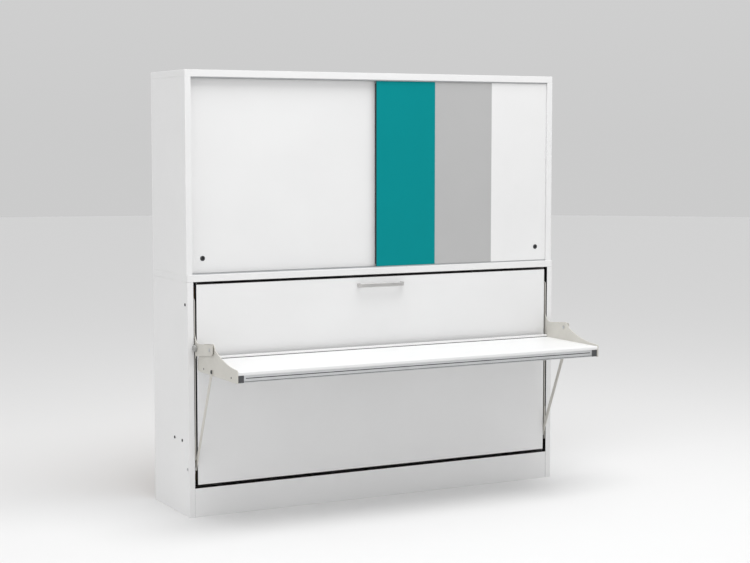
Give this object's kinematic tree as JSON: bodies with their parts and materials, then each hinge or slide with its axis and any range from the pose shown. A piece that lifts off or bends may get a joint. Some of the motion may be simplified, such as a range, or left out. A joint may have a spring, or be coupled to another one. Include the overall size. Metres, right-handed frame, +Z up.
{
  "type": "murphy wall bed",
  "caption": "Horizontal fold-down wall bed with a desk that stays level on its front, in a base cabinet under a shallow hutch with two sliding doors.",
  "frame": {"origin": "floor level, midway across the width and midway between the desk's front edge and the wall", "axes": "+X to the right seen from the front, +Y towards the wall, +Z up; the bed is stored folded up, the doors closed and the desk ready for use"},
  "size_m": [2.044, 0.944, 2.106],
  "materials": {
    "white_board": "white melamine-faced board, satin",
    "teal_board": "teal melamine-faced board, satin",
    "grey_board": "light grey melamine-faced board, satin",
    "desk_board": "white laminate, slightly glossy",
    "steel_plate": "warm light grey powder coat, satin",
    "aluminium": "clear anodised, matt",
    "dark_plastic": "dark grey moulded plastic",
    "grey_plastic": "mid grey moulded plastic",
    "rubber": "grey-black rubber, matt",
    "black_steel": "blackened steel",
    "zinc_steel": "zinc plated, dull",
    "satin_nickel": "satin nickel",
    "strut_black": "black enamel",
    "chrome": "polished rod",
    "frame_timber": "planed softwood, bare",
    "slat_wood": "bent birch slat, clear lacquer",
    "mattress_fabric": "knitted ticking, off-white",
    "webbing": "dark woven webbing",
    "nylon": "natural nylon"
  },
  "bodies": {
    "cabinet": {"base_side_left": "white_board", "base_side_right": "white_board", "base_top": "white_board", "base_plinth": "white_board", "base_back": "white_board", "wall_rails": "white_board", "hutch_side_left": "white_board", "hutch_side_right": "white_board", "hutch_top": "white_board", "hutch_back": "white_board", "hutch_divider": "white_board", "shelves": "white_board", "corner_brackets": "zinc_steel", "track_bottom": "aluminium", "track_top": "aluminium", "side_bolts": "black_steel", "link_pivots": "zinc_steel", "pivot_plates": "steel_plate", "bed_pivots": "zinc_steel", "strut_mounts": "zinc_steel", "catch_magnets": "dark_plastic"},
    "bed": {"bed_front": "white_board", "frame_end_left": "frame_timber", "frame_end_right": "frame_timber", "frame_rails": "frame_timber", "slats": "slat_wood", "mattress": "mattress_fabric", "mattress_straps": "webbing", "bed_arm_left": "steel_plate", "bed_arm_right": "steel_plate", "arm_screws": "black_steel", "arm_spacers": "zinc_steel", "arm_bumpers": "grey_plastic", "bed_handle": "satin_nickel", "desk_pivots": "zinc_steel"},
    "desk": {"desk_top": "desk_board", "desk_lip": "desk_board", "desk_front_rail": "aluminium", "desk_end_caps": "dark_plastic", "desk_rear_rail": "white_board", "desk_bracket_left": "steel_plate", "desk_bracket_right": "steel_plate", "desk_screws": "black_steel", "link_joints": "black_steel", "desk_feet": "rubber"},
    "link_left": {"link_left": "steel_plate"},
    "link_right": {"link_right": "steel_plate"},
    "strut_tube_left": {"strut_tube_left": "strut_black"},
    "strut_tube_right": {"strut_tube_right": "strut_black"},
    "strut_rod_left": {"strut_rod_left": "chrome"},
    "strut_rod_right": {"strut_rod_right": "chrome"},
    "door_left": {"door_left": "white_board", "door_gliders_left": "nylon", "door_pull_left": "dark_plastic"},
    "door_right": {"door_right": "white_board", "facing_teal": "teal_board", "facing_grey": "grey_board", "facing_white": "white_board", "door_gliders_right": "nylon", "door_pull_right": "dark_plastic"}
  },
  "joints": [
    {"name": "bed_fold", "type": "hinge", "parent": "cabinet", "child": "bed", "pos_m": [0, 0.039, 0.33], "axis": [1, 0, 0], "range_deg": [0, 90]},
    {"name": "desk_level", "type": "hinge", "parent": "bed", "child": "desk", "pos_m": [0, -0.17, 0.818], "axis": [1, 0, 0], "range_deg": [-90, 0]},
    {"name": "link_swing_left", "type": "hinge", "parent": "cabinet", "child": "link_left", "pos_m": [-0.979, 0.03, 0.229], "axis": [1, 0, 0], "range_deg": [0, 90]},
    {"name": "link_swing_right", "type": "hinge", "parent": "cabinet", "child": "link_right", "pos_m": [0.979, 0.03, 0.229], "axis": [1, 0, 0], "range_deg": [0, 90]},
    {"name": "strut_swing_left", "type": "hinge", "parent": "cabinet", "child": "strut_tube_left", "pos_m": [-0.963, 0.109, 0.76], "axis": [1, 0, 0], "range_deg": [-4.67, 0]},
    {"name": "strut_stroke_left", "type": "slide", "parent": "strut_tube_left", "child": "strut_rod_left", "axis": [0, 0.0015, 1], "range_m": [0, 0.10804]},
    {"name": "strut_swing_right", "type": "hinge", "parent": "cabinet", "child": "strut_tube_right", "pos_m": [0.963, 0.109, 0.76], "axis": [1, 0, 0], "range_deg": [-4.67, 0]},
    {"name": "strut_stroke_right", "type": "slide", "parent": "strut_tube_right", "child": "strut_rod_right", "axis": [0, 0.0015, 1], "range_m": [0, 0.10804]},
    {"name": "door_left_slide", "type": "slide", "parent": "cabinet", "child": "door_left", "axis": [1, 0, 0], "range_m": [0, 0.978]},
    {"name": "door_right_slide", "type": "slide", "parent": "cabinet", "child": "door_right", "axis": [-1, 0, 0], "range_m": [0, 0.978]}
  ],
  "couplings": [
    {"joint": "desk_level", "follows": "bed_fold", "ratio": -1},
    {"joint": "link_swing_left", "follows": "bed_fold", "ratio": 1},
    {"joint": "link_swing_right", "follows": "bed_fold", "ratio": 1},
    {"joint": "strut_swing_left", "follows": "bed_fold", "ratio": -0.051852},
    {"joint": "strut_stroke_left", "follows": "bed_fold", "m_per_rad": 0.068779},
    {"joint": "strut_swing_right", "follows": "bed_fold", "ratio": -0.051852},
    {"joint": "strut_stroke_right", "follows": "bed_fold", "m_per_rad": 0.068779}
  ]
}
